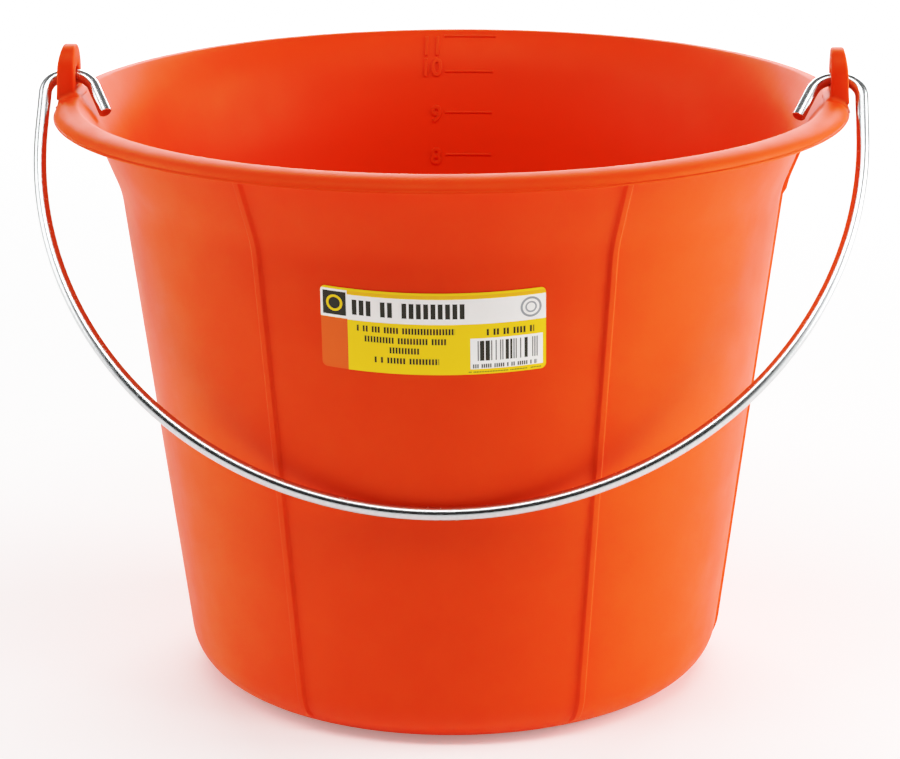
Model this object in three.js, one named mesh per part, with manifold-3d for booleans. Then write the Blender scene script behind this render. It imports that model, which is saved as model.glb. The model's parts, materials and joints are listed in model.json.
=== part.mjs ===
// An 11 litre moulded polyethylene bucket with a swinging wire bail and a stuck-on front label.
// Millimetres, +Z up, origin on the floor under the bucket's axis, front of the bucket towards -Y.
import * as THREE from 'three';
import { mergeVertices } from 'three/addons/utils/BufferGeometryUtils.js';
import Module from 'manifold-3d';

// Shell
const wallThickness = 2.6;
const wallFootRadius = 108.4;      // outer wall line carried down to the floor
const wallSlope = 0.1253;          // radius gained per millimetre of height
const baseFillet = 20;             // outer corner between wall and base
const dishDepth = 1.5;             // middle of the base stands clear of the floor
const dishRadius = 80;
const footRingRadius = 84;         // inner edge of the flat ring the bucket stands on
const flareHeight = 205.4;         // where the wall opens into the flared rim
const flareSlope = 0.402;
const flareBlend = 5;              // half length of the soft turn between wall and flare
const flareTurn = 231;             // where the flare starts to curve out under the lip
const lipRadius = 160;
const lipTop = 240.4;
const lipBottom = 235;             // cut edge of the turned-down lip
const lipMiddle = 150;             // radius where the lip starts to turn down
const lipCrest = 150.3;            // sharp inner corner where the wall meets the top of the lip
const insideTurn = 228;            // above this the inner wall eases into the crest
const shellFacets = 60;
const curveSteps = 3;

// Ribs, gussets and litre marks moulded on the shell
const ribCount = 6;
const ribWidth = 2.8;
const ribHeight = 1;
const ribFootHeight = 3;           // ribs fade out here, on the base corner
const gussetHeight = 2.1;          // the two ribs under the ears stand this proud near the rim
const gussetFoot = 200;
const gussetRunOut = 3;
const ribHead = 152;               // radius under the lip where the ribs end
const markCount = 11;              // one mark per litre
const markLength = 22;
const markWidth = 1.2;
const markHeight = 0.5;
const markClear = 3;               // the top mark stays this far under the rim

// Ears and hinge
const hingeHeight = 247;
const holeRadius = 4;
const earInner = 152.5;
const earOuter = 159.8;
const earTop = 260;
const earTopOuter = 157.9;
const earHalfWidth = 9.5;
const earFootHalfWidth = 11.5;
const earSeat = 235.6;             // the ear's foot is sunk in the lip

// Wire bail
const wireDiameter = 5.3;
const wireSides = 12;
const bendSteps = 8;
const legX = 165;                  // centreline of each leg
const legLength = 25.4;            // hinge to the start of the big half circle
const outerBend = 8;
const hookBend = 9.5;
const hookTurn = THREE.MathUtils.degToRad(65);
const hookEndX = 139.6;            // the cut end of the wire, over the flare inside the rim
const hookEndDrop = 17.4;
const restAngle = THREE.MathUtils.degToRad(40.7);   // bail plane from straight down, at rest

// Label
const labelWidth = 85.3;           // along the wall
const labelHeight = 32.6;
const labelCorner = 2;
const labelMiddle = 174.95;
const labelGap = 0.3;
const labelThickness = 0.25;
const labelSteps = 96;             // points around its outline

const wasm = await Module();
wasm.setup();

// A closed three.js geometry as a solid: shared corners merged and collapsed faces dropped.
function toSolid(geometry) {
  geometry.deleteAttribute('normal');
  geometry.deleteAttribute('uv');
  const merged = mergeVertices(geometry, 1e-4);
  const corners = merged.index.array;
  const faces = [];
  for (let i = 0; i < corners.length; i += 3) {
    const [a, b, c] = corners.slice(i, i + 3);
    if (a !== b && b !== c && c !== a) faces.push(a, b, c);
  }
  return new wasm.Manifold(new wasm.Mesh({
    numProp: 3,
    vertProperties: merged.attributes.position.array,
    triVerts: new Uint32Array(faces),
  }));
}

function toGeometry(solid) {
  const mesh = solid.getMesh();
  const geometry = new THREE.BufferGeometry();
  geometry.setAttribute('position', new THREE.BufferAttribute(mesh.vertProperties, 3));
  geometry.setIndex(new THREE.BufferAttribute(mesh.triVerts, 1));
  geometry.computeVertexNormals();
  return geometry;
}

const point = (x, y) => new THREE.Vector2(x, y);
const wallRadius = (z) => wallFootRadius + wallSlope * z;

// A line of points moved sideways, to its left where the distance is positive.
function offsetLine(line, distance) {
  return line.map((here, i) => {
    const before = line[Math.max(i - 1, 0)];
    const after = line[Math.min(i + 1, line.length - 1)];
    const into = here.clone().sub(before).normalize();
    const out = after.clone().sub(here).normalize();
    const along = into.add(out).normalize();
    const step = typeof distance === 'function' ? distance(here) : distance;
    return point(here.x - along.y * step, here.y + along.x * step);
  });
}

// Radius of the flare's outer face, carried on under the lip.
const flareRadius = (z) => wallRadius(flareHeight) + flareSlope * (z - flareHeight);

// A path's points, with those that nearly coincide counted as one.
function pathPoints(path, steps) {
  const apart = 1e-3;
  return path.getPoints(steps).filter((p, i, all) => i === 0 || p.distanceTo(all[i - 1]) > apart);
}

// Outer skin of the shell in the radius-height plane, from the middle of the base to the lip's edge.
function skinPath() {
  const tilt = Math.atan(wallSlope);
  const filletX = wallRadius(baseFillet * (1 - Math.sin(tilt))) - baseFillet * Math.cos(tilt);
  const underLip = lipTop - wallThickness;
  const path = new THREE.Path();
  path.moveTo(0, dishDepth);
  path.lineTo(dishRadius, dishDepth);
  path.lineTo(footRingRadius, 0);
  path.lineTo(filletX, 0);
  path.absarc(filletX, baseFillet, baseFillet, -Math.PI / 2, -tilt, false);
  path.lineTo(wallRadius(flareHeight - flareBlend), flareHeight - flareBlend);
  path.quadraticCurveTo(wallRadius(flareHeight), flareHeight,
    flareRadius(flareHeight + flareBlend), flareHeight + flareBlend);
  path.lineTo(flareRadius(flareTurn), flareTurn);
  path.quadraticCurveTo(flareRadius(underLip), underLip, lipMiddle, underLip);
  path.absellipse(lipMiddle, lipBottom, lipRadius - wallThickness - lipMiddle,
    underLip - lipBottom, Math.PI / 2, 0, true);
  return path;
}

// Inner wall and top of the lip: the skin moved in by the wall, then the crest and the lip's oval top.
function insidePoints() {
  const wall = offsetLine(skin, wallThickness).filter((p) => p.y < insideTurn);
  wall[0].x = 0;
  const turn = flareRadius(insideTurn) - wallThickness * Math.hypot(1, flareSlope);
  const climb = lipTop - (lipCrest - turn) / 2;
  const top = new THREE.Path();
  top.moveTo(turn, insideTurn);
  top.quadraticCurveTo(turn + flareSlope * (climb - insideTurn), climb, lipCrest, lipTop);
  top.lineTo(lipCrest + 1, lipTop);
  top.absellipse(lipCrest + 1, lipBottom, lipRadius - lipCrest - 1, lipTop - lipBottom, Math.PI / 2, 0, true);
  return [...wall, ...pathPoints(top, curveSteps)];
}

const skin = pathPoints(skinPath(), curveSteps);
const inside = insidePoints();

// Revolves an outline of radius and height points about Z; its first facet edge faces the front.
function revolve(outline) {
  return toSolid(new THREE.LatheGeometry(outline, shellFacets).rotateX(Math.PI / 2));
}

// Extrudes a shape drawn in the X-Z plane along Y, centred on y = 0.
function extrudeAcross(shape, width) {
  const settings = { depth: width, bevelEnabled: false, curveSegments: 12 };
  return new THREE.ExtrudeGeometry(shape, settings).rotateX(Math.PI / 2).translate(0, width / 2, 0);
}

// Radius of the inner wall at a height above the base corner.
function insideRadius(z) {
  const i = inside.findIndex((p, n) => n > 0 && p.y >= z && inside[n - 1].y < z);
  const [low, high] = [inside[i - 1], inside[i]];
  return low.x + (high.x - low.x) * (z - low.y) / (high.y - low.y);
}

// Heights of the litre marks, from the volume that the inside holds up to them.
function markHeights() {
  const slice = 0.1;
  const heights = [];
  let volume = 0;
  for (let z = wallThickness + dishDepth + slice; heights.length < markCount; z += slice) {
    volume += Math.PI * insideRadius(z) ** 2 * slice;
    const full = volume >= (heights.length + 1) * 1e6 || z > lipTop - markClear;
    if (full) heights.push(z);
  }
  return heights;
}

// One raised bar on the inner wall at the back, following its curve.
function litreMark(z) {
  const radius = insideRadius(z);
  const halfAngle = markLength / 2 / radius;
  const shape = new THREE.Shape();
  shape.absarc(0, 0, radius + 1, Math.PI / 2 - halfAngle, Math.PI / 2 + halfAngle, false);
  shape.absarc(0, 0, radius - markHeight, Math.PI / 2 + halfAngle, Math.PI / 2 - halfAngle, true);
  const bar = new THREE.ExtrudeGeometry(shape, { depth: markWidth, bevelEnabled: false, curveSegments: 2 });
  return toSolid(bar.translate(0, 0, z - markWidth / 2));
}

// How far a rib stands off the skin: it fades at the foot, and grows into a gusset under an ear.
function ribProfile(isGusset) {
  return (p) => {
    if (p.y <= ribFootHeight) return 0;
    const rise = THREE.MathUtils.smoothstep(p.y, ribFootHeight, 3 * ribFootHeight) * ribHeight;
    if (!isGusset) return -rise;
    const grow = THREE.MathUtils.clamp((p.y - gussetFoot) / gussetRunOut, 0, 1);
    return -(rise + grow * (gussetHeight - ribHeight));
  };
}

function rib(index) {
  const angle = THREE.MathUtils.degToRad(index * 360 / ribCount);
  const isGusset = index % (ribCount / 2) === 0;
  const line = [];
  for (const p of skin) {
    if (p.y < ribFootHeight / 2 || p.x < wallFootRadius / 2 || p.x > ribHead) continue;
    if (isGusset && p.y > gussetFoot && line.at(-1).y < gussetFoot) {
      line.push(point(wallRadius(gussetFoot), gussetFoot));
    }
    line.push(p);
  }
  const proud = offsetLine(line, ribProfile(isGusset));
  const sunk = offsetLine(line, wallThickness / 2).reverse();
  const plate = extrudeAcross(new THREE.Shape([...proud, ...sunk]), ribWidth);
  return toSolid(plate.rotateZ(angle));
}

// An ear: its face outline seen along X, cut to its thickness outline seen along Y.
function ear(side) {
  const face = new THREE.Shape();
  face.moveTo(-earFootHalfWidth, earSeat);
  face.lineTo(earFootHalfWidth, earSeat);
  face.quadraticCurveTo(earHalfWidth, lipTop, earHalfWidth, hingeHeight);
  face.absarc(0, earTop - earHalfWidth, earHalfWidth, 0, Math.PI, false);
  face.lineTo(-earHalfWidth, hingeHeight);
  face.quadraticCurveTo(-earHalfWidth, lipTop, -earFootHalfWidth, earSeat);
  const hole = new THREE.Path();
  hole.absarc(0, hingeHeight, holeRadius, 0, 2 * Math.PI, true);
  face.holes.push(hole);
  const reach = { depth: lipRadius, bevelEnabled: false, curveSegments: 10 };
  const blank = new THREE.ExtrudeGeometry(face, reach);
  blank.applyMatrix4(new THREE.Matrix4().makeBasis(
    new THREE.Vector3(0, 1, 0), new THREE.Vector3(0, 0, 1), new THREE.Vector3(1, 0, 0)));

  const outline = new THREE.Shape();
  outline.moveTo(earInner, earSeat);
  outline.lineTo(earOuter, earSeat);
  outline.lineTo(earOuter - 0.4, hingeHeight);
  outline.lineTo(earTopOuter + 0.4, earTop - 2);
  outline.quadraticCurveTo(earTopOuter, earTop, earTopOuter - 1.6, earTop);
  outline.lineTo(earInner + 1, earTop);
  outline.quadraticCurveTo(earInner, earTop, earInner, earTop - 1);
  const section = toSolid(extrudeAcross(outline, 4 * earFootHalfWidth));
  const solid = toSolid(blank).intersect(section);
  return side > 0 ? solid : solid.rotate([0, 0, 180]);
}

function bucketShell() {
  let shell = revolve([...skin, ...inside.slice().reverse()]);
  for (let i = 0; i < ribCount; i++) shell = shell.add(rib(i));
  for (const side of [1, -1]) shell = shell.add(ear(side));
  for (const z of markHeights()) shell = shell.add(litreMark(z));
  return toGeometry(shell);
}

// A bent wire given by stations along its centreline, close together only where it bends.
class BentWire extends THREE.Curve {
  constructor(stations) {
    super();
    this.stations = stations;
  }

  getPoint(t, target = new THREE.Vector3()) {
    const last = this.stations.length - 1;
    const at = Math.min(Math.floor(t * last), last - 1);
    return target.lerpVectors(this.stations[at], this.stations[at + 1], t * last - at);
  }

  getUtoTmapping(u) {
    return u;
  }
}

// Half of the bail in its own plane, x sideways and y down from the hinge, hook end first.
function bailHalf() {
  const half = new THREE.Path();
  const bendDrop = hookBend * (1 - Math.cos(hookTurn));
  const bendX = hookEndX + (hookEndDrop - bendDrop) / Math.tan(hookTurn);
  half.moveTo(hookEndX, hookEndDrop);
  half.lineTo(bendX, bendDrop);
  const level = -Math.PI / 2;
  half.absarc(bendX + hookBend * Math.sin(hookTurn), hookBend, hookBend, level - hookTurn, level, false);
  half.absarc(legX - outerBend, outerBend, outerBend, level, 0, false);
  half.absarc(0, legLength, legX, 0, Math.PI / 2, false);
  return pathPoints(half, bendSteps);
}

function wireBail() {
  const half = bailHalf();
  const mirrored = half.slice(0, -1).reverse().map((p) => point(-p.x, p.y));
  const stations = [...half, ...mirrored].map((p) => new THREE.Vector3(
    p.x, -p.y * Math.sin(restAngle), hingeHeight - p.y * Math.cos(restAngle)));
  const section = new THREE.Shape();
  section.absarc(0, 0, wireDiameter / 2, 0, 2 * Math.PI, false);
  return new THREE.ExtrudeGeometry(section, {
    steps: stations.length - 1,
    curveSegments: wireSides / 2,
    extrudePath: new BentWire(stations),
  });
}

// A point of the flat label seen from the front, once the label is wrapped on the wall's cone.
function wrapOnWall(p) {
  const lean = Math.atan(wallSlope);
  const reach = wallRadius(labelMiddle) / Math.sin(lean);
  const span = Math.hypot(p.x, reach + p.y);
  const turn = Math.atan2(p.x, reach + p.y) / Math.sin(lean);
  return point(span * Math.sin(lean) * Math.sin(turn), labelMiddle + (span - reach) * Math.cos(lean));
}

// The label is a rounded rectangle cut out of a thin cone that hugs the wall.
function frontLabel() {
  const low = labelMiddle - labelHeight;
  const high = labelMiddle + labelHeight;
  const near = labelGap + labelThickness;
  const cone = revolve([
    point(wallRadius(low) + labelGap, low),
    point(wallRadius(low) + near, low),
    point(wallRadius(high) + near, high),
    point(wallRadius(high) + labelGap, high),
    point(wallRadius(low) + labelGap, low),
  ]);
  const [x, z, c] = [labelWidth / 2, labelHeight / 2, labelCorner];
  const flat = new THREE.Path();
  flat.absarc(x - c, z - c, c, 0, Math.PI / 2, false);
  flat.absarc(-x + c, z - c, c, Math.PI / 2, Math.PI, false);
  flat.absarc(-x + c, -z + c, c, Math.PI, 1.5 * Math.PI, false);
  flat.absarc(x - c, -z + c, c, -Math.PI / 2, 0, false);
  const outline = new THREE.Shape(flat.getSpacedPoints(labelSteps).slice(0, -1).map(wrapOnWall));
  const cutter = toSolid(extrudeAcross(outline, lipRadius).translate(0, -lipRadius / 2, 0));
  return toGeometry(cone.intersect(cutter));
}

const materials = {
  polyethylene: new THREE.MeshStandardMaterial({ color: 0xe04a1c, roughness: 0.42, metalness: 0 }),
  zincWire: new THREE.MeshStandardMaterial({ color: 0xc8cacc, roughness: 0.28, metalness: 1 }),
  labelFilm: new THREE.MeshStandardMaterial({ color: 0xe8cd10, roughness: 0.4, metalness: 0 }),
};

const bucket = new THREE.Group();
const pieces = [
  ['bucket_shell', bucketShell(), materials.polyethylene],
  ['wire_bail', wireBail(), materials.zincWire],
  ['front_label', frontLabel(), materials.labelFilm],
];
for (const [name, geometry, material] of pieces) {
  const mesh = new THREE.Mesh(geometry, material);
  mesh.name = name;
  bucket.add(mesh);
}

export default bucket;
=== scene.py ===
import json
import math

import bmesh
import bpy
from mathutils import Matrix, Vector


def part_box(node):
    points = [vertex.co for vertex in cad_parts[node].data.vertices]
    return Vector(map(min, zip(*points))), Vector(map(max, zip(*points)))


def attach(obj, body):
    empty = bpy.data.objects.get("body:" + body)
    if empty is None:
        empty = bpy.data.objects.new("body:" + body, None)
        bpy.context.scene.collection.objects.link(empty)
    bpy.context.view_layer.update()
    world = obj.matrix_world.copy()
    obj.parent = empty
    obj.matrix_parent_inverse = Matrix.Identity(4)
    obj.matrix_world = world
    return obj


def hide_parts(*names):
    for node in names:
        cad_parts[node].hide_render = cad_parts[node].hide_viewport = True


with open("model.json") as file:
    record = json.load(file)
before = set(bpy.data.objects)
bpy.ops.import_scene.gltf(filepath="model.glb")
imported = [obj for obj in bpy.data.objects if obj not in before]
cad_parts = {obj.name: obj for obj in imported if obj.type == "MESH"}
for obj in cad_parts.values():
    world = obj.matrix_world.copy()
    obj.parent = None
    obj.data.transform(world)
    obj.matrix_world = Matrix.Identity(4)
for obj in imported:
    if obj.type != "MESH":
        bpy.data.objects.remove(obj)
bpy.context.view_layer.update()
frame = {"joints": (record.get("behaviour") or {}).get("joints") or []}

mm = 0.001
up = Vector((0, 0, 1))
scene = bpy.context.scene


# helpers

def hexColour(code):
    # "#rrggbb" in sRGB to a linear colour
    parts = [int(code[i:i + 2], 16) / 255 for i in (1, 3, 5)]
    return [p / 12.92 if p <= 0.04045 else ((p + 0.055) / 1.055) ** 2.4 for p in parts] + [1.0]


def addNode(tree, kind, inputs=None, **settings):
    # a node with its settings; inputs go by name or number, or in order in a list, and each one takes
    # a value, a node (its first output) or a socket
    node = tree.nodes.new(kind)
    for name, value in settings.items():
        setattr(node, name, value)
    pairs = inputs.items() if isinstance(inputs, dict) else enumerate(inputs or [])
    for key, value in pairs:
        if isinstance(value, bpy.types.Node):
            value = value.outputs[0]
        if isinstance(value, bpy.types.NodeSocket):
            tree.links.new(value, node.inputs[key])
        else:
            node.inputs[key].default_value = value
    return node


def newMaterial(name):
    material = bpy.data.materials.new(name)
    material.use_nodes = True
    tree = material.node_tree
    return material, tree, tree.nodes["Principled BSDF"]


def newTree(name, sizes):
    # a geometry tree whose inputs are the named sizes and a material
    tree = bpy.data.node_groups.new(name, "GeometryNodeTree")
    kinds = {int: "NodeSocketInt", float: "NodeSocketFloat"}
    tree.interface.new_socket("Geometry", in_out="INPUT", socket_type="NodeSocketGeometry")
    for label, value in sizes.items():
        socket = tree.interface.new_socket(label, in_out="INPUT", socket_type=kinds[type(value)])
        socket.default_value = value
    tree.interface.new_socket("Material", in_out="INPUT", socket_type="NodeSocketMaterial")
    tree.interface.new_socket("Geometry", in_out="OUTPUT", socket_type="NodeSocketGeometry")
    return tree, addNode(tree, "NodeGroupInput").outputs


def closeTree(tree, geometry, material):
    real = addNode(tree, "GeometryNodeRealizeInstances", {"Geometry": geometry})
    painted = addNode(tree, "GeometryNodeSetMaterial", {"Geometry": real, "Material": material})
    addNode(tree, "NodeGroupOutput", {"Geometry": painted})


def growPiece(name, seed, tree, sizes, material):
    # runs a tree on a seed mesh and keeps the result as a plain mesh
    source = bpy.data.objects.new(name + "Seed", seed)
    scene.collection.objects.link(source)
    modifier = source.modifiers.new(tree.name, "NODES")
    modifier.node_group = tree
    values = {**sizes, "Material": material}
    for item in tree.interface.items_tree:
        if item.in_out == "INPUT" and item.name in values:
            modifier[item.identifier] = values[item.name]
    evaluated = source.evaluated_get(bpy.context.evaluated_depsgraph_get())
    mesh = bpy.data.meshes.new_from_object(evaluated)
    source.modifiers.remove(modifier)
    bpy.data.objects.remove(source)
    return placePiece(name, mesh)


def placePiece(name, mesh):
    mesh.name = name
    piece = bpy.data.objects.new(name, mesh)
    scene.collection.objects.link(piece)
    return piece


def seedMesh(name, points, edges=(), faces=(), **attributes):
    # points with named attributes; numbers give FLOAT attributes and vectors FLOAT_VECTOR ones
    mesh = bpy.data.meshes.new(name)
    mesh.from_pydata([tuple(p) for p in points], edges, faces)
    for label, values in attributes.items():
        isVector = isinstance(values[0], Vector)
        layer = mesh.attributes.new(label, "FLOAT_VECTOR" if isVector else "FLOAT", "POINT")
        flat = [c for v in values for c in v] if isVector else values
        layer.data.foreach_set("vector" if isVector else "value", flat)
    return mesh


def arcPoints(centre, radius, start, end, count):
    # a round stretch from one angle to another, in degrees
    turns = [math.radians(start + (end - start) * i / count) for i in range(count + 1)]
    return [Vector((centre[0] + radius * math.cos(a), centre[1] + radius * math.sin(a))) for a in turns]


def softTurn(a, b, c, count):
    # a turn from a to c that points at b on both sides
    a, b, c = Vector(a), Vector(b), Vector(c)
    steps = [i / count for i in range(count + 1)]
    return [(1 - t) ** 2 * a + 2 * t * (1 - t) * b + t * t * c for t in steps]


def ramp(x, low, high):
    # 0 up to low, 1 from high on, and smooth between them
    t = min(max((x - low) / (high - low), 0), 1)
    return t * t * (3 - 2 * t)


# camera

# lens in millimetres; side, tilt and roll in degrees; the rest in metres
cameraView = {
    "lens": 124.73, "side": 3.37, "tilt": 16.22, "roll": -0.33, "distance": 1.2457, "height": 0.4821,
    "shiftLeft": 0.0012,
}


def makeCamera(v):
    data = bpy.data.cameras.new("camera")
    data.lens = v["lens"]
    data.sensor_width = 36
    data.clip_end = 50
    camera = bpy.data.objects.new("camera", data)
    scene.collection.objects.link(camera)
    side = math.radians(v["side"])
    right = Vector((math.cos(side), math.sin(side), 0))
    back = Vector((math.sin(side), -math.cos(side), 0))
    camera.location = back * v["distance"] - right * v["shiftLeft"] + up * v["height"]
    turn = Matrix.Rotation(side, 3, "Z") @ Matrix.Rotation(math.radians(90 - v["tilt"]), 3, "X")
    camera.rotation_euler = (turn @ Matrix.Rotation(math.radians(v["roll"]), 3, "Z")).to_euler()
    scene.camera = camera


makeCamera(cameraView)
print("stage: camera")


# materials

# grain, flow, streak and scatterReach are sizes in millimetres
polyethyleneLook = {
    "colour": "#EC450E", "deep": "#E8400D", "roughness": (0.5, 0.57), "ior": 1.51, "gloss": 0.26,
    "tint": "#FFDDB4", "grain": 0.9, "grainBump": 0.2, "flow": 16, "streak": 2.2, "streakBump": 0.03,
    "streakShare": 0.2, "streakRadius": 0.13, "streakHeight": 0.03, "scatter": 0.18, "scatterReach": 3.0,
}


def makePolyethylene(look):
    # injection moulded polyethylene: satin, a little cloudy in depth, with faint flow streaks
    material, tree, skin = newMaterial("moulded polyethylene")
    place = addNode(tree, "ShaderNodeTexCoord").outputs["Object"]
    flow = addNode(tree, "ShaderNodeTexNoise",
                   {"Vector": place, "Scale": 1 / (look["flow"] * mm), "Detail": 3})
    # streaks: noise on the direction round the axis, drawn out along the height
    flat = addNode(tree, "ShaderNodeVectorMath", [place, (1, 1, 0)], operation="MULTIPLY")
    heading = addNode(tree, "ShaderNodeVectorMath", [flat], operation="NORMALIZE")
    heading = addNode(tree, "ShaderNodeVectorMath", {0: heading, "Scale": look["streakRadius"]},
                      operation="SCALE")
    tall = addNode(tree, "ShaderNodeVectorMath", [place, (0, 0, look["streakHeight"])],
                   operation="MULTIPLY")
    drawn = addNode(tree, "ShaderNodeVectorMath", [heading, tall], operation="ADD")
    streak = addNode(tree, "ShaderNodeTexNoise",
                     {"Vector": drawn, "Scale": 1 / (look["streak"] * mm), "Detail": 2})
    grain = addNode(tree, "ShaderNodeTexNoise",
                    {"Vector": place, "Scale": 1 / (look["grain"] * mm), "Detail": 2, "Roughness": 0.6})
    colour = addNode(tree, "ShaderNodeMix", {"Factor": flow.outputs["Fac"], 6: hexColour(look["colour"]),
                                             7: hexColour(look["deep"])}, data_type="RGBA")
    gloss = addNode(tree, "ShaderNodeMath",
                    [streak.outputs["Fac"], look["streakShare"], flow.outputs["Fac"]],
                    operation="MULTIPLY_ADD")
    low, high = look["roughness"]
    rough = addNode(tree, "ShaderNodeMapRange", {"Value": gloss, "From Min": 0.4, "From Max": 0.8,
                                                 "To Min": low, "To Max": high})
    waves = addNode(tree, "ShaderNodeBump", {"Height": streak.outputs["Fac"],
                                             "Strength": look["streakBump"], "Distance": 0.1 * mm})
    fine = addNode(tree, "ShaderNodeBump", {"Height": grain.outputs["Fac"], "Normal": waves,
                                            "Strength": look["grainBump"], "Distance": 0.06 * mm})
    tree.links.new(colour.outputs[2], skin.inputs["Base Color"])
    tree.links.new(rough.outputs[0], skin.inputs["Roughness"])
    tree.links.new(fine.outputs[0], skin.inputs["Normal"])
    skin.inputs["IOR"].default_value = look["ior"]
    skin.inputs["Specular IOR Level"].default_value = look["gloss"]
    skin.inputs["Specular Tint"].default_value = hexColour(look["tint"])
    skin.inputs["Subsurface Weight"].default_value = look["scatter"]
    skin.inputs["Subsurface Radius"].default_value = (1.0, 0.25, 0.08)
    skin.inputs["Subsurface Scale"].default_value = look["scatterReach"] * mm
    return material


# bloom is a size in millimetres; lineStretch multiplies the turn round the wire, so lines run along it
zincLook = {
    "colour": "#D2D3D3", "dull": "#B9BCBE", "roughness": (0.2, 0.28), "bloom": 1.6, "lineBump": 0.12,
    "lineScale": 22, "lineStretch": 14,
}


def makeZincWire(look):
    # drawn steel wire, bright zinc plated: fine lines along its length and a faint cloudy bloom
    material, tree, skin = newMaterial("bright zinc plated wire")
    along = addNode(tree, "ShaderNodeUVMap", uv_map="UVMap")
    place = addNode(tree, "ShaderNodeTexCoord").outputs["Object"]
    stretched = addNode(tree, "ShaderNodeVectorMath", [along, (look["lineStretch"], 1, 1)],
                        operation="MULTIPLY")
    lines = addNode(tree, "ShaderNodeTexNoise",
                    {"Vector": stretched, "Scale": look["lineScale"], "Detail": 3})
    bloom = addNode(tree, "ShaderNodeTexNoise",
                    {"Vector": place, "Scale": 1 / (look["bloom"] * mm), "Detail": 4, "Roughness": 0.6})
    colour = addNode(tree, "ShaderNodeMix", {"Factor": bloom.outputs["Fac"], 6: hexColour(look["colour"]),
                                             7: hexColour(look["dull"])}, data_type="RGBA")
    low, high = look["roughness"]
    rough = addNode(tree, "ShaderNodeMapRange", {"Value": bloom.outputs["Fac"], "From Min": 0.3,
                                                 "From Max": 0.7, "To Min": low, "To Max": high})
    scratches = addNode(tree, "ShaderNodeBump", {"Height": lines.outputs["Fac"], "Strength": look["lineBump"],
                                                 "Distance": 0.03 * mm})
    tree.links.new(colour.outputs[2], skin.inputs["Base Color"])
    tree.links.new(rough.outputs[0], skin.inputs["Roughness"])
    tree.links.new(scratches.outputs[0], skin.inputs["Normal"])
    skin.inputs["Metallic"].default_value = 1
    return material


polyethylene = makePolyethylene(polyethyleneLook)
zincWire = makeZincWire(zincLook)
print("stage: plastic and wire materials")


# shell: one line of radius and height, thickened to the inside and turned about the axis

# millimetres; a slope is the radius gained for a millimetre of height, and wallRows is a count; the wall
# starts to wobble between the two heights in wobbleStart, and stops between those in wobbleEnd
shellSizes = {
    "wall": 2.6, "footRadius": 108.4, "slope": 0.1253, "baseCorner": 20.0, "baseRows": (0, 20, 40, 60),
    "dish": 1.5, "dishRadius": 80.0, "ringRadius": 84.0, "wallRows": 22, "flareHeight": 205.4,
    "flareSlope": 0.402, "flareBlend": 5.0, "flareTurn": 231.0, "flareRows": (215, 220, 225),
    "insideRise": 0.6, "insideBlend": 15.0, "insideTurn": 223.0, "lipBottom": 235.0, "lipTop": 240.4,
    "lipMiddle": 150.0, "crest": 150.3, "crestDrop": 0.3, "crestWidth": 1.0, "flash": 0.35,
    "ribFoot": 3.0, "ribTop": 151.0, "ribRunOut": 2.0, "gussetFoot": 200.0, "gussetRunOut": 3.0,
    "wobbleStart": (10, 60), "wobbleEnd": (185, 230),
}
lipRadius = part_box("bucket_shell")[1].y / mm


def wallRadius(z):
    return shellSizes["footRadius"] + shellSizes["slope"] * z


def flareRadius(z):
    return wallRadius(shellSizes["flareHeight"]) + shellSizes["flareSlope"] * (z - shellSizes["flareHeight"])


def lipCurve(centre, width, height, count):
    # a quarter of an oval, from its top out to its side
    turns = [math.pi / 2 * i / count for i in range(count + 1)]
    return [Vector((centre[0] + width * math.sin(a), centre[1] + height * math.cos(a))) for a in turns]


def skinLine(s):
    # outer side, from the middle of the base to the lip's lower edge
    tilt = math.atan(s["slope"])
    corner = s["baseCorner"]
    cornerX = wallRadius(corner * (1 - math.sin(tilt))) - corner * math.cos(tilt)
    underLip = s["lipTop"] - s["wall"]
    blend = (s["flareHeight"] - s["flareBlend"], s["flareHeight"] + s["flareBlend"])
    ring = s["ringRadius"]
    line = [Vector((x, s["dish"])) for x in s["baseRows"]]
    line += softTurn((s["dishRadius"] - 3, s["dish"]), (s["dishRadius"], s["dish"]),
                     (s["dishRadius"] + 1, s["dish"] * 0.75), 3)
    line += softTurn((ring - 1, s["dish"] * 0.25), (ring, 0), (ring + 2, 0), 3)
    line += arcPoints((cornerX, corner), corner, -90, -math.degrees(tilt), 14)
    steps = s["wallRows"]
    low = line[-1].y
    heights = [low + (blend[0] - low) * i / steps for i in range(1, steps)]
    line += [Vector((wallRadius(z), z)) for z in heights if z < blend[0] - 0.3]
    line += softTurn((wallRadius(blend[0]), blend[0]), (wallRadius(s["flareHeight"]), s["flareHeight"]),
                     (flareRadius(blend[1]), blend[1]), 8)
    line += [Vector((flareRadius(z), z)) for z in s["flareRows"]]
    line += softTurn((flareRadius(s["flareTurn"]), s["flareTurn"]), (flareRadius(underLip), underLip),
                     (s["lipMiddle"], underLip), 8)
    return line + lipCurve((s["lipMiddle"], s["lipBottom"]), lipRadius - s["wall"] - s["lipMiddle"],
                           underLip - s["lipBottom"], 8)[1:]


def sideways(line, distance):
    # the line moved to its left
    moved = []
    for i, here in enumerate(line):
        before, after = line[max(i - 1, 0)], line[min(i + 1, len(line) - 1)]
        along = ((here - before).normalized() + (after - here).normalized()).normalized()
        moved.append(here + Vector((-along.y, along.x)) * distance)
    return moved


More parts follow.
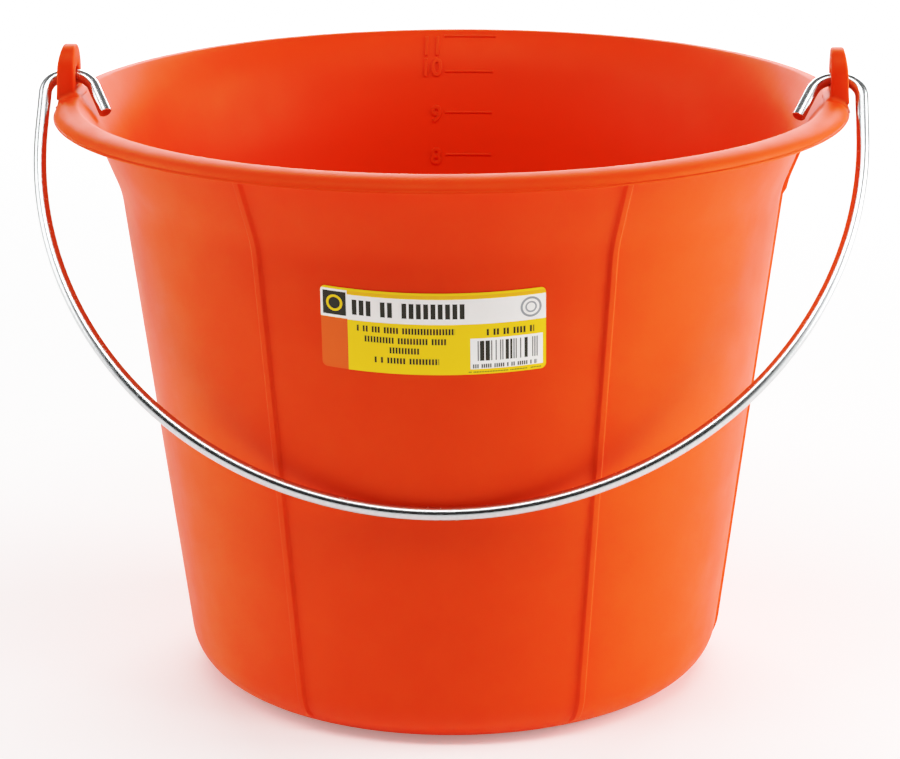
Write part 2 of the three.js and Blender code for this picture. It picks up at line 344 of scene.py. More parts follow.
def insideLine(s):
    # inner side, up to a clear edge round the mouth and over the lip to its outer edge
    blend, slope, crest = s["insideBlend"], s["flareSlope"], s["crest"]
    line = [p for p in sideways(skin, s["wall"]) if p.y < s["flareHeight"] - blend - 1]
    line[0].x = 0
    bend = s["flareHeight"] + s["insideRise"]
    onWall, onFlare = s["wall"] * math.hypot(1, s["slope"]), s["wall"] * math.hypot(1, slope)
    line += softTurn((wallRadius(bend - blend) - onWall, bend - blend), (wallRadius(bend) - onWall, bend),
                     (flareRadius(bend + blend) - onFlare, bend + blend), 10)
    start = Vector((flareRadius(s["insideTurn"]) - onFlare, s["insideTurn"]))
    edge = Vector((crest, s["lipTop"] - s["crestDrop"]))
    # where the flare's own line meets the one that climbs to the edge at 45 degrees
    climb = (edge.x - start.x - slope * (edge.y - start.y)) / (1 - slope)
    line += softTurn(start, edge - Vector((climb, climb)), edge, 8)
    width = s["crestWidth"]
    line += softTurn(edge, (crest + 0.35 * width, s["lipTop"]), (crest + 0.9 * width, s["lipTop"]), 3)[1:]
    return line + lipCurve((crest + width, s["lipBottom"]), lipRadius - crest - width,
                           s["lipTop"] - s["lipBottom"], 14)


skin = skinLine(shellSizes)
inside = insideLine(shellSizes)


def insideRadius(z):
    # radius of the inner side at a height; nothing above the edge round the mouth counts
    z = min(z, shellSizes["lipTop"] - 0.4)
    for low, high in zip(inside, inside[1:]):
        if low.y < z <= high.y:
            return low.x + (high.x - low.x) * (z - low.y) / (high.y - low.y)


def topHeight(radius):
    # height of the rim's upper surface at a radius
    for low, high in zip(inside[::-1], inside[-2::-1]):
        if high.x <= radius <= low.x:
            return low.y + (high.y - low.y) * (low.x - radius) / max(low.x - high.x, 1e-6)
    return shellSizes["lipBottom"]


panelSizes = {
    "Panels": 6, "Columns": 72, "Crowding": 0.12, "Rib height": 1.25 * mm, "Rib half width": 1.1 * mm,
    "Rib edge": 0.9 * mm, "Gusset height": 1.1 * mm, "Wobble": 0.22 * mm, "Wobble size": 75 * mm,
}


def shellTree(sizes):
    # a grid wrapped round the axis; columns crowd together at each rib, which is raised from the wall
    tree, given = newTree("turned shell with ribs", sizes)
    profile = given["Geometry"]
    rows = addNode(tree, "GeometryNodeAttributeDomainSize", {"Geometry": profile}, component="MESH")
    rows = rows.outputs["Point Count"]
    columns = addNode(tree, "ShaderNodeMath", [given["Panels"], given["Columns"], 1.0],
                      operation="MULTIPLY_ADD")
    grid = addNode(tree, "GeometryNodeMeshGrid",
                   {"Size X": 1.0, "Size Y": 1.0, "Vertices X": columns, "Vertices Y": rows})
    spot = addNode(tree, "GeometryNodeInputPosition")
    spot = addNode(tree, "ShaderNodeSeparateXYZ", [spot]).outputs
    # the grid goes once round; one panel runs from rib to rib, and t from -1 to 1 across it
    across = addNode(tree, "ShaderNodeMath", [spot["X"], 0.5], operation="ADD")
    across = addNode(tree, "ShaderNodeMath", [across, given["Panels"]], operation="MULTIPLY")
    panel = addNode(tree, "ShaderNodeMath", [across], operation="FLOOR")
    t = addNode(tree, "ShaderNodeMath", [across], operation="FRACT")
    t = addNode(tree, "ShaderNodeMath", [t, 2.0, -1.0], operation="MULTIPLY_ADD")
    cubed = addNode(tree, "ShaderNodeMath", [t, 3.0], operation="POWER")
    crowded = addNode(tree, "ShaderNodeMix", {"Factor": given["Crowding"], 2: cubed, 3: t}, data_type="FLOAT")
    halfPanel = addNode(tree, "ShaderNodeMath", [math.pi, given["Panels"]], operation="DIVIDE")
    fromRib = addNode(tree, "ShaderNodeMath", [crowded, halfPanel], operation="MULTIPLY")
    turn = addNode(tree, "ShaderNodeMath", [panel, 2.0], operation="MULTIPLY")
    turn = addNode(tree, "ShaderNodeMath", [turn, halfPanel, fromRib], operation="MULTIPLY_ADD")
    last = addNode(tree, "ShaderNodeMath", [rows, 1.0], operation="SUBTRACT")
    row = addNode(tree, "ShaderNodeMath", [spot["Y"], 0.5], operation="ADD")
    row = addNode(tree, "ShaderNodeMath", [row, last], operation="MULTIPLY")
    row = addNode(tree, "ShaderNodeMath", [row], operation="ROUND")
    # what the profile holds at this row
    held = {"position": "FLOAT_VECTOR", "outward": "FLOAT_VECTOR", "ribShare": "FLOAT",
            "gussetShare": "FLOAT", "wobbleShare": "FLOAT"}
    for label, kind in held.items():
        field = addNode(tree, "GeometryNodeInputNamedAttribute", {"Name": label}, data_type=kind)
        held[label] = addNode(tree, "GeometryNodeSampleIndex",
                              {"Geometry": profile, "Value": field, "Index": row},
                              data_type=kind, domain="POINT")
    radius = addNode(tree, "ShaderNodeSeparateXYZ", [held["position"]]).outputs["X"]
    aside = addNode(tree, "ShaderNodeMath", [fromRib, radius], operation="MULTIPLY")
    aside = addNode(tree, "ShaderNodeMath", [aside], operation="ABSOLUTE")
    outer = addNode(tree, "ShaderNodeMath", [given["Rib half width"], given["Rib edge"]], operation="ADD")
    bead = addNode(tree, "ShaderNodeMapRange",
                   {"Value": aside, "From Min": given["Rib half width"], "From Max": outer, "To Min": 1.0,
                    "To Max": 0.0}, interpolation_type="SMOOTHSTEP")
    # every third rib is under an ear and has a gusset
    underEar = addNode(tree, "ShaderNodeMath", [panel, 3.0], operation="MODULO")
    underEar = addNode(tree, "ShaderNodeMath", [underEar, 0.0, 0.1], operation="COMPARE")
    gusset = addNode(tree, "ShaderNodeMath", [held["gussetShare"], underEar], operation="MULTIPLY")
    gusset = addNode(tree, "ShaderNodeMath", [gusset, given["Gusset height"]], operation="MULTIPLY")
    rise = addNode(tree, "ShaderNodeMath", [held["ribShare"], given["Rib height"], gusset],
                   operation="MULTIPLY_ADD")
    rise = addNode(tree, "ShaderNodeMath", [rise, bead], operation="MULTIPLY")
    # the wall of a thin moulding is never quite true
    smoothPlace = addNode(tree, "ShaderNodeVectorRotate", {"Vector": held["position"], "Angle": turn},
                          rotation_type="Z_AXIS")
    scale = addNode(tree, "ShaderNodeMath", [1.0, given["Wobble size"]], operation="DIVIDE")
    noise = addNode(tree, "ShaderNodeTexNoise", {"Vector": smoothPlace, "Scale": scale, "Detail": 0.0})
    wobble = addNode(tree, "ShaderNodeMath", [noise.outputs["Fac"], 0.5], operation="SUBTRACT")
    wobble = addNode(tree, "ShaderNodeMath", [wobble, given["Wobble"]], operation="MULTIPLY")
    wobble = addNode(tree, "ShaderNodeMath", [wobble, held["wobbleShare"]], operation="MULTIPLY")
    wobble = addNode(tree, "ShaderNodeCombineXYZ", {"X": wobble})
    place = addNode(tree, "ShaderNodeVectorMath", {0: held["outward"], "Scale": rise}, operation="SCALE")
    place = addNode(tree, "ShaderNodeVectorMath", [place, wobble], operation="ADD")
    place = addNode(tree, "ShaderNodeVectorMath", [place, held["position"]], operation="ADD")
    place = addNode(tree, "ShaderNodeVectorRotate", {"Vector": place, "Angle": turn}, rotation_type="Z_AXIS")
    wrapped = addNode(tree, "GeometryNodeSetPosition", {"Geometry": grid, "Position": place})
    joined = addNode(tree, "GeometryNodeMergeByDistance", {"Geometry": wrapped, "Distance": 0.002 * mm})
    smooth = addNode(tree, "GeometryNodeSetShadeSmooth", {"Geometry": joined})
    closeTree(tree, smooth, given["Material"])
    return tree


def buildShell(s):
    # the lip's lower edge has a thin flash outside, where the mould closed
    edge = skin[-1]
    flash = s["flash"]
    lipEdge = [edge + Vector((0.2, -0.18)), Vector((lipRadius - 0.5, edge.y - 0.2)),
               Vector((lipRadius + flash * 0.6, edge.y - 0.12)), Vector((lipRadius + flash, edge.y + 0.1)),
               Vector((lipRadius + flash * 0.5, edge.y + 0.4)), Vector((lipRadius + 0.02, edge.y + 0.7))]
    line = skin + lipEdge + inside[-2::-1]
    outward = []
    for i in range(len(line)):
        along = (line[min(i + 1, len(line) - 1)] - line[max(i - 1, 0)]).normalized()
        outward.append(Vector((along.y, 0, -along.x)))
    ribs, gussets, wobbles = [], [], []
    for i, p in enumerate(line):
        onSkin = i < len(skin)
        taper = 1 - ramp(p.x, s["ribTop"], s["ribTop"] + s["ribRunOut"]) if onSkin else 0
        ribs.append(taper * ramp(p.y, s["ribFoot"], 3 * s["ribFoot"]))
        gussets.append(taper * ramp(p.y, s["gussetFoot"], s["gussetFoot"] + s["gussetRunOut"]))
        wobbles.append(ramp(p.y, *s["wobbleStart"]) * (1 - ramp(p.y, *s["wobbleEnd"])))
    points = [Vector((p.x, 0, p.y)) * mm for p in line]
    seed = seedMesh("shellLine", points, outward=outward, ribShare=ribs, gussetShare=gussets,
                    wobbleShare=wobbles)
    return growPiece("bucketShell", seed, shellTree(panelSizes), panelSizes, polyethylene)


shell = buildShell(shellSizes)
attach(shell, "bucket")
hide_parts("bucket_shell")
print("stage: shell", len(shell.data.polygons), "faces")


# ears

hinge = Vector(frame["joints"][0]["pos_m"]) / mm
# millimetres; the three outer ones are the outer face's radius at the rim, the hinge and the top
earSizes = {
    "inner": 152.5, "outer": 159.8, "outerAtHinge": 159.4, "outerAtTop": 157.6, "halfWidth": 9.5, "hole": 4.0,
    "sunk": 2.0, "edge": 1.5, "edgeTurns": 3, "fillet": 2.6, "filletTurns": 7, "around": 16,
}
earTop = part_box("bucket_shell")[1].z / mm


def earOuter(z):
    # radius of an ear's outer face, which leans in towards its top
    s = earSizes
    rim = shellSizes["lipTop"]
    if z < hinge.z:
        return s["outer"] + (s["outerAtHinge"] - s["outer"]) * (z - rim) / (hinge.z - rim)
    share = ((z - hinge.z) / (earTop - hinge.z)) ** 2
    return s["outerAtHinge"] + (s["outerAtTop"] - s["outerAtHinge"]) * share


def lipMiddle(radius):
    # a height inside the lip's own thickness
    middle = topHeight(min(radius, lipRadius - 0.3)) - shellSizes["wall"] / 2
    return max(middle, shellSizes["lipBottom"] + 0.2)


def buildEarPlate(side):
    # an upright plate with a round top and the hinge hole, its edges rounded
    s = earSizes
    half, n = s["halfWidth"], s["around"]
    foot = shellSizes["lipTop"] - s["sunk"]
    crown = (0, earTop - half)
    outline = [Vector((-half + 2 * half * i / n, foot)) for i in range(n)]
    outline += [Vector((half, foot + (crown[1] - foot) * i / n)) for i in range(n)]
    outline += arcPoints(crown, half, 0, 180, 2 * n)[:-1]
    outline += [Vector((-half, crown[1] + (foot - crown[1]) * i / n)) for i in range(n)]
    mesh = bmesh.new()
    rings = []
    for face in (0, 1):
        outer, hole = [], []
        for p in outline:
            x = earOuter(p.y) if face else s["inner"]
            z = lipMiddle(x) if p.y == foot else p.y
            outer.append(mesh.verts.new((side * x, side * p.x, z)))
            toward = (p - Vector((0, hinge.z))).normalized() * s["hole"]
            x = earOuter(hinge.z + toward.y) if face else s["inner"]
            hole.append(mesh.verts.new((side * x, side * toward.x, hinge.z + toward.y)))
        rings.append((outer, hole))
    (innerEdge, innerHole), (outerEdge, outerHole) = rings
    count = len(outline)
    for i in range(count):
        j = (i + 1) % count
        mesh.faces.new((innerEdge[j], innerEdge[i], innerHole[i], innerHole[j]))
        mesh.faces.new((outerEdge[i], outerEdge[j], outerHole[j], outerHole[i]))
        mesh.faces.new((innerEdge[i], innerEdge[j], outerEdge[j], outerEdge[i]))
        mesh.faces.new((innerHole[j], innerHole[i], outerHole[i], outerHole[j]))
    for v in mesh.verts:
        v.co *= mm
    bmesh.ops.recalc_face_normals(mesh, faces=mesh.faces)
    bevelEdges = [e for e in mesh.edges if e.calc_face_angle(0) > math.radians(40)]
    bmesh.ops.bevel(mesh, geom=bevelEdges, offset=s["edge"] * mm, segments=s["edgeTurns"], profile=0.5,
                    affect="EDGES", clamp_overlap=True)
    return mesh


def addEarFoot(mesh, side):
    # the fillet that runs the ear into the rim, as a closed ring round the ear
    s = earSizes
    turns = s["filletTurns"]
    corner = s["edge"]
    halfX, halfY = (s["outer"] - s["inner"]) / 2, s["halfWidth"]
    middle = (s["outer"] + s["inner"]) / 2
    loops = []
    for cx, cy, start in ((1, 1, 0), (-1, 1, 90), (-1, -1, 180), (1, -1, 270)):
        centre = (cx * (halfX - corner), cy * (halfY - corner))
        arc = arcPoints(centre, corner, start, start + 90, 5)
        loops += [(p, (p - Vector(centre)).normalized()) for p in arc]
    rings = []
    for p, away in loops:
        reach = s["fillet"] * (1 - 0.9 * max(0, away.x))
        section = [(-0.8, reach), (-0.02, reach * 1.15)]
        section += [(reach * (1 - math.cos(a)), reach * (1 - math.sin(a)) + 0.02)
                    for a in (math.pi / 2 * i / turns for i in range(turns + 1))]
        section += [(reach + 0.4, -0.5), (-0.8, -1.2)]
        ring = []
        for out, lift in section:
            x = middle + p.x + away.x * out
            y = p.y + away.y * out
            radius = min(math.hypot(x, y), lipRadius - 0.15)
            ring.append(mesh.verts.new(Vector((side * x, side * y, topHeight(radius) + lift)) * mm))
        rings.append(ring)
    for ring, following in zip(rings, rings[1:] + rings[:1]):
        for i in range(len(ring)):
            j = (i + 1) % len(ring)
            mesh.faces.new((ring[i], following[i], following[j], ring[j]))


def buildEar(name, side):
    plate = buildEarPlate(side)
    addEarFoot(plate, side)
    bmesh.ops.recalc_face_normals(plate, faces=plate.faces)
    mesh = bpy.data.meshes.new(name)
    plate.to_mesh(mesh)
    plate.free()
    mesh.materials.append(polyethylene)
    mesh.shade_smooth()
    piece = placePiece(name, mesh)
    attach(piece, "bucket")
    return piece


for name, side in (("earRight", 1), ("earLeft", -1)):
    buildEar(name, side)
print("stage: ears")


# litre marks

markSizes = {"Half angle": math.radians(4.5), "Bar height": 0.5 * mm, "Bar half width": 0.65 * mm}
# millimetres; lift moves single figures up or down
numeralSizes = {
    "count": 11, "clear": 2.5, "height": 7.2, "fontScale": 1.38, "rise": 0.75, "sunk": 0.4, "stroke": 0.1,
    "bevel": 0.2, "rightEdge": -12.0, "drop": 1.0, "lift": {10: 2.4, 11: -3.2},
}


def markHeights(count):
    # heights at which the inside holds 1, 2, 3... litres
    heights, volume, z, step = [], 0.0, inside[0].y, 0.1
    while len(heights) < count:
        z += step
        volume += math.pi * (insideRadius(z) or 0) ** 2 * step
        if volume >= (len(heights) + 1) * 1e6:
            heights.append(min(z, shellSizes["lipTop"] - numeralSizes["clear"]))
    return heights


def barTree(sizes):
    # one bar on each point, bent round the inner wall at the back
    tree, given = newTree("litre bars", sizes)
    spine = addNode(tree, "GeometryNodeCurvePrimitiveLine", {"Start": (-1, 0, 0), "End": (1, 0, 0)})
    spine = addNode(tree, "GeometryNodeResampleCurve", {"Curve": spine, "Count": 13})
    section = addNode(tree, "GeometryNodeCurvePrimitiveCircle", {"Resolution": 10, "Radius": 1.0})
    bar = addNode(tree, "GeometryNodeCurveToMesh",
                  {"Curve": spine, "Profile Curve": section, "Fill Caps": True})
    bars = addNode(tree, "GeometryNodeInstanceOnPoints", {"Points": given["Geometry"], "Instance": bar})
    bars = addNode(tree, "GeometryNodeRealizeInstances", {"Geometry": bars})
    here = addNode(tree, "GeometryNodeInputPosition")
    mark = addNode(tree, "GeometryNodeInputNamedAttribute", {"Name": "markSpot"}, data_type="FLOAT_VECTOR")
    tilt = addNode(tree, "GeometryNodeInputNamedAttribute", {"Name": "tilt"}, data_type="FLOAT")
    local = addNode(tree, "ShaderNodeVectorMath", [here, mark], operation="SUBTRACT")
    local = addNode(tree, "ShaderNodeSeparateXYZ", [local]).outputs
    # the side in the wall is cut flat; then the section gets its size and leans with the wall
    depth = addNode(tree, "ShaderNodeMath", [local["Y"], 0.8], operation="MINIMUM")
    section = addNode(tree, "ShaderNodeCombineXYZ", {"Y": depth, "Z": local["Z"]})
    size = addNode(tree, "ShaderNodeCombineXYZ", {"Y": given["Bar height"], "Z": given["Bar half width"]})
    section = addNode(tree, "ShaderNodeVectorMath", [section, size], operation="MULTIPLY")
    section = addNode(tree, "ShaderNodeVectorRotate", {"Vector": section, "Angle": tilt},
                      rotation_type="X_AXIS", invert=True)
    section = addNode(tree, "ShaderNodeVectorMath", [section, mark], operation="ADD")
    turn = addNode(tree, "ShaderNodeMath", [local["X"], given["Half angle"]], operation="MULTIPLY")
    bent = addNode(tree, "ShaderNodeVectorRotate", {"Vector": section, "Angle": turn},
                   rotation_type="Z_AXIS", invert=True)
    moved = addNode(tree, "GeometryNodeSetPosition", {"Geometry": bars, "Position": bent})
    smooth = addNode(tree, "GeometryNodeSetShadeSmooth", {"Geometry": moved})
    closeTree(tree, smooth, given["Material"])
    return tree


def wallTilt(z):
    # the inner side's lean from upright
    return math.atan((insideRadius(z + 1) - insideRadius(z - 1)) / 2)


def buildLitreBars(heights):
    spots = [Vector((0, insideRadius(z), z)) * mm for z in heights]
    seed = seedMesh("markSpots", spots, markSpot=spots, tilt=[wallTilt(z) for z in heights])
    return growPiece("litreBars", seed, barTree(markSizes), markSizes, polyethylene)


def buildNumerals(heights, s):
    # raised figures left of each bar, wrapped on the inner wall
    whole = bmesh.new()
    for litre, z in enumerate(heights, 1):
        text = bpy.data.curves.new("numeral", "FONT")
        text.body = str(litre)
        text.size = s["height"] * s["fontScale"]
        text.align_x = "RIGHT"
        text.align_y = "CENTER"
        text.extrude = (s["rise"] + s["sunk"]) / 2 - s["bevel"]
        text.bevel_depth = s["bevel"]
        text.bevel_resolution = 1
        text.offset = s["stroke"]
        text.resolution_u = 5
        source = bpy.data.objects.new("numeral", text)
        scene.collection.objects.link(source)
        evaluated = source.evaluated_get(bpy.context.evaluated_depsgraph_get())
        mesh = bpy.data.meshes.new_from_object(evaluated)
        bpy.data.objects.remove(source)
        middle = z - s["drop"] + s["lift"].get(litre, 0)
        for v in mesh.vertices:
            level = middle + v.co.y
            radius = insideRadius(level) - (v.co.z + (s["rise"] - s["sunk"]) / 2)
            turn = (s["rightEdge"] + v.co.x) / radius
            v.co = Vector((radius * math.sin(turn), radius * math.cos(turn), level)) * mm
        whole.from_mesh(mesh)
    bmesh.ops.remove_doubles(whole, verts=whole.verts, dist=0.005 * mm)
    bmesh.ops.recalc_face_normals(whole, faces=whole.faces)
    mesh = bpy.data.meshes.new("litreNumerals")
    whole.to_mesh(mesh)
    whole.free()
    mesh.materials.append(polyethylene)
    return placePiece("litreNumerals", mesh)


marks = markHeights(numeralSizes["count"])
for piece in (buildLitreBars(marks), buildNumerals(marks, numeralSizes)):
    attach(piece, "bucket")
print("stage: litre marks at", [round(z, 1) for z in marks])


# wire bail

bailLow, bailHigh = (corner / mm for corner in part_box("wire_bail"))
# millimetres and degrees
wireSizes = {
    "diameter": 5.3, "legLength": 25.4, "outerBend": 8.0, "hookBend": 9.5, "hookTurn": 65.0, "hookEnd": 139.6,
    "hookDrop": 17.4, "chamfer": 0.4,
}
sweepSizes = {"Sides": 28, "Radius": wireSizes["diameter"] / 2 * mm, "Sharp angle": 0.7}


def bailLine(s):
    # centreline in the bail's own plane, x sideways and y down from the hinge, from hook to hook
    legX = bailHigh.x - s["diameter"] / 2
    turn = math.radians(s["hookTurn"])
    bendDrop = s["hookBend"] * (1 - math.cos(turn))
    bendX = s["hookEnd"] + (s["hookDrop"] - bendDrop) / math.tan(turn)
    end, bend = Vector((s["hookEnd"], s["hookDrop"])), Vector((bendX, bendDrop))
    tip = (bend - end).normalized() * s["chamfer"]
    half = [end, end + tip, end.lerp(bend, 0.35), end.lerp(bend, 0.7)]
    half += arcPoints((bendX + s["hookBend"] * math.sin(turn), s["hookBend"]), s["hookBend"],
                      -90 - s["hookTurn"], -90, 16)
    half += arcPoints((legX - s["outerBend"], s["outerBend"]), s["outerBend"], -90, 0, 20)
    half += [Vector((legX, s["outerBend"] + (s["legLength"] - s["outerBend"]) * i / 4)) for i in (1, 2, 3)]
    half += arcPoints((0, s["legLength"]), legX, 0, 90, 72)
    return half + [Vector((-p.x, p.y)) for p in half[-2::-1]]


def wireTree(sizes):
    # a round section swept along the line, with lengthwise UVs
    tree, given = newTree("swept wire", sizes)
    path = addNode(tree, "GeometryNodeMeshToCurve", {"Mesh": given["Geometry"]})
    narrowing = addNode(tree, "GeometryNodeInputNamedAttribute", {"Name": "girth"}, data_type="FLOAT")
    path = addNode(tree, "GeometryNodeSetCurveRadius", {"Curve": path, "Radius": narrowing})
    where = addNode(tree, "GeometryNodeSplineParameter")
    path = addNode(tree, "GeometryNodeStoreNamedAttribute",
                   {"Geometry": path, "Name": "along", "Value": where.outputs["Length"]},
                   data_type="FLOAT", domain="POINT")
    section = addNode(tree, "GeometryNodeCurvePrimitiveCircle",
                      {"Resolution": given["Sides"], "Radius": given["Radius"]})
    section = addNode(tree, "GeometryNodeStoreNamedAttribute",
                      {"Geometry": section, "Name": "around",
                       "Value": addNode(tree, "GeometryNodeSplineParameter").outputs["Factor"]},
                      data_type="FLOAT", domain="POINT")
    wire = addNode(tree, "GeometryNodeCurveToMesh",
                   {"Curve": path, "Profile Curve": section, "Scale": narrowing, "Fill Caps": True})
    along = addNode(tree, "GeometryNodeInputNamedAttribute", {"Name": "along"}, data_type="FLOAT")
    around = addNode(tree, "GeometryNodeInputNamedAttribute", {"Name": "around"}, data_type="FLOAT")
    # round and back again, so that the lines meet where the section closes
    there = addNode(tree, "ShaderNodeMath", [around, 0.5], operation="PINGPONG")
    spread = addNode(tree, "ShaderNodeCombineXYZ", {"X": there, "Y": along})
    wire = addNode(tree, "GeometryNodeStoreNamedAttribute",
                   {"Geometry": wire, "Name": "UVMap", "Value": spread}, data_type="FLOAT2", domain="CORNER")
    wire = addNode(tree, "GeometryNodeSetShadeSmooth", {"Geometry": wire}, domain="FACE")
    corner = addNode(tree, "GeometryNodeInputMeshEdgeAngle").outputs["Unsigned Angle"]
    sharp = addNode(tree, "FunctionNodeCompare", [corner, given["Sharp angle"]],
                    data_type="FLOAT", operation="GREATER_THAN")
    wire = addNode(tree, "GeometryNodeSetShadeSmooth",
                   {"Geometry": wire, "Selection": sharp, "Shade Smooth": False}, domain="EDGE")
    closeTree(tree, wire, given["Material"])
    return tree


def buildBail(s):
    line = bailLine(s)
    # the rest angle and the drop come from where the bail hangs in the frame
    wire = s["diameter"] / 2
    rest = math.atan2(-bailLow.y - wire, hinge.z - bailLow.z - wire)
    points = [Vector((p.x, -p.y * math.sin(rest), hinge.z - p.y * math.cos(rest))) * mm for p in line]
    girth = [1.0] * len(line)
    girth[0] = girth[-1] = 1 - s["chamfer"] / wire
    edges = [(i, i + 1) for i in range(len(points) - 1)]
    seed = seedMesh("bailLine", points, edges, girth=girth)
    return growPiece("wireBail", seed, wireTree(sweepSizes), sweepSizes, zincWire)


bail = buildBail(wireSizes)
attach(bail, "bail")
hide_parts("wire_bail")
print("stage: wire bail", len(bail.data.polygons), "faces")


# front label

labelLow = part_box("front_label")[0] / mm
# millimetres; climb multiplies the rise that a flat sheet's ends have on the cone
labelSizes = {
    "width": 85.3, "height": 32.4, "climb": 1.7, "lift": 0.06, "thickness": 0.16, "corner": 2.0,
    "columns": 64, "rows": 18,
}
filmLook = {"roughness": (0.4, 0.52), "gloss": 0.3, "grain": 1.6, "ripple": 0.12}
labelInks = {
    "field": "#FFD200", "band": "#FDFCF8", "dark": "#35342C", "orange": "#F0561A", "rule": "#F7AE14",
    "text": "#33300F", "grey": "#8B8F92",
}
# printed shapes, bottom to top, in millimetres from the lower left corner: centre, size and ink, and for
# rows of plain bars in place of wording their pitch, each bar's share of it and how many are printed
labelPrint = [
    ((48.8, 25.0), (76.6, 9.9), "band"), ((5.3, 25.9), (10.6, 11.2), "band"),
    ((48.8, 30.9), (76.6, 1.2), "rule"), ((5.3, 10.1), (10.6, 20.2), "orange"),
    ((5.5, 26.0), (9.2, 9.4), "dark"), ((70.4, 8.2), (27.4, 12.2), "band"),
    ((33.8, 25.2), (42.8, 6.0), "dark", 2.7, 0.68, 0.86),
    ((32.6, 17.2), (36.9, 2.5), "text", 1.15, 0.68, 0.86),
    ((32.4, 13.2), (30.7, 2.5), "text", 1.15, 0.68, 0.86),
    ((32.3, 9.3), (11.6, 2.5), "text", 1.15, 0.68, 0.86),
    ((32.9, 5.2), (24.3, 2.4), "text", 1.2, 0.68, 0.86),
    ((71.2, 16.6), (19.2, 2.6), "text", 1.25, 0.68, 0.86),
    ((69.7, 3.2), (24.2, 1.6), "dark", 0.8, 0.68, 0.86),
    ((70.0, 0.9), (28.0, 0.5), "text", 0.6, 0.68, 0.86),
    ((70.9, 9.3), (23.0, 8.0), "dark", 0.42, 1.0, 0.52),
]
# rings: centre, outer and inner radius, ink
labelRings = [
    ((79.6, 25.2), 4.0, 3.2, "grey"), ((79.6, 25.2), 2.2, 1.6, "grey"), ((5.5, 26.0), 3.2, 2.3, "field"),
]


def makeLabelFilm(width, height, look):
    # printed polypropylene film: flat inks under a thin satin varnish
    material, tree, film = newMaterial("printed label film")
    uv = addNode(tree, "ShaderNodeUVMap", uv_map="UVMap")
    spot = addNode(tree, "ShaderNodeVectorMath", [uv, (width, height, 0)], operation="MULTIPLY")
    spotX = addNode(tree, "ShaderNodeSeparateXYZ", [spot]).outputs["X"]
    colour = hexColour(labelInks["field"])
    for number, (centre, size, ink, *bars) in enumerate(labelPrint):
        away = addNode(tree, "ShaderNodeVectorMath", [spot, (*centre, 0)], operation="SUBTRACT")
        away = addNode(tree, "ShaderNodeVectorMath", [away], operation="ABSOLUTE")
        away = addNode(tree, "ShaderNodeVectorMath", [away, (size[0] / 2, size[1] / 2, 0)],
                       operation="SUBTRACT")
        away = addNode(tree, "ShaderNodeSeparateXYZ", [away]).outputs
        away = addNode(tree, "ShaderNodeMath", [away["X"], away["Y"]], operation="MAXIMUM")
        inked = addNode(tree, "ShaderNodeMath", [away, 0.0], operation="LESS_THAN")
        if bars:
            pitch, share, printed = bars
            along = addNode(tree, "ShaderNodeMath", [spotX, centre[0] - size[0] / 2], operation="SUBTRACT")
            along = addNode(tree, "ShaderNodeMath", [along, pitch], operation="DIVIDE")
            cell = addNode(tree, "ShaderNodeMath", [along], operation="FLOOR")
            cell = addNode(tree, "ShaderNodeCombineXYZ", {"X": cell, "Y": float(number)})
            chance = addNode(tree, "ShaderNodeTexWhiteNoise", {"Vector": cell}, noise_dimensions="3D")
            full = addNode(tree, "ShaderNodeMath", [chance.outputs["Value"], printed], operation="LESS_THAN")
            bar = addNode(tree, "ShaderNodeMath", [along], operation="FRACT")
            bar = addNode(tree, "ShaderNodeMath", [bar, share], operation="LESS_THAN")
            bar = addNode(tree, "ShaderNodeMath", [bar, full], operation="MULTIPLY")
            inked = addNode(tree, "ShaderNodeMath", [inked, bar], operation="MULTIPLY")
        colour = addNode(tree, "ShaderNodeMix", {"Factor": inked, 6: colour, 7: hexColour(labelInks[ink])},
                         data_type="RGBA").outputs[2]
    for centre, outer, inner, ink in labelRings:
        away = addNode(tree, "ShaderNodeVectorMath", [spot, (*centre, 0)], operation="DISTANCE")
        away = away.outputs["Value"]
        inked = addNode(tree, "ShaderNodeMath", [away, (outer + inner) / 2, (outer - inner) / 2],
                        operation="COMPARE")
        colour = addNode(tree, "ShaderNodeMix", {"Factor": inked, 6: colour, 7: hexColour(labelInks[ink])},
                         data_type="RGBA").outputs[2]
    grain = addNode(tree, "ShaderNodeTexNoise", {"Vector": spot, "Scale": look["grain"], "Detail": 2})
    low, high = look["roughness"]
    rough = addNode(tree, "ShaderNodeMapRange", {"Value": grain.outputs["Fac"], "From Min": 0.3,
                                                 "From Max": 0.7, "To Min": low, "To Max": high})
    ripple = addNode(tree, "ShaderNodeBump", {"Height": grain.outputs["Fac"], "Strength": look["ripple"],
                                              "Distance": 0.05 * mm})
    tree.links.new(colour, film.inputs["Base Color"])
    tree.links.new(rough.outputs[0], film.inputs["Roughness"])
    tree.links.new(ripple.outputs[0], film.inputs["Normal"])
    film.inputs["Specular IOR Level"].default_value = look["gloss"]
    return material


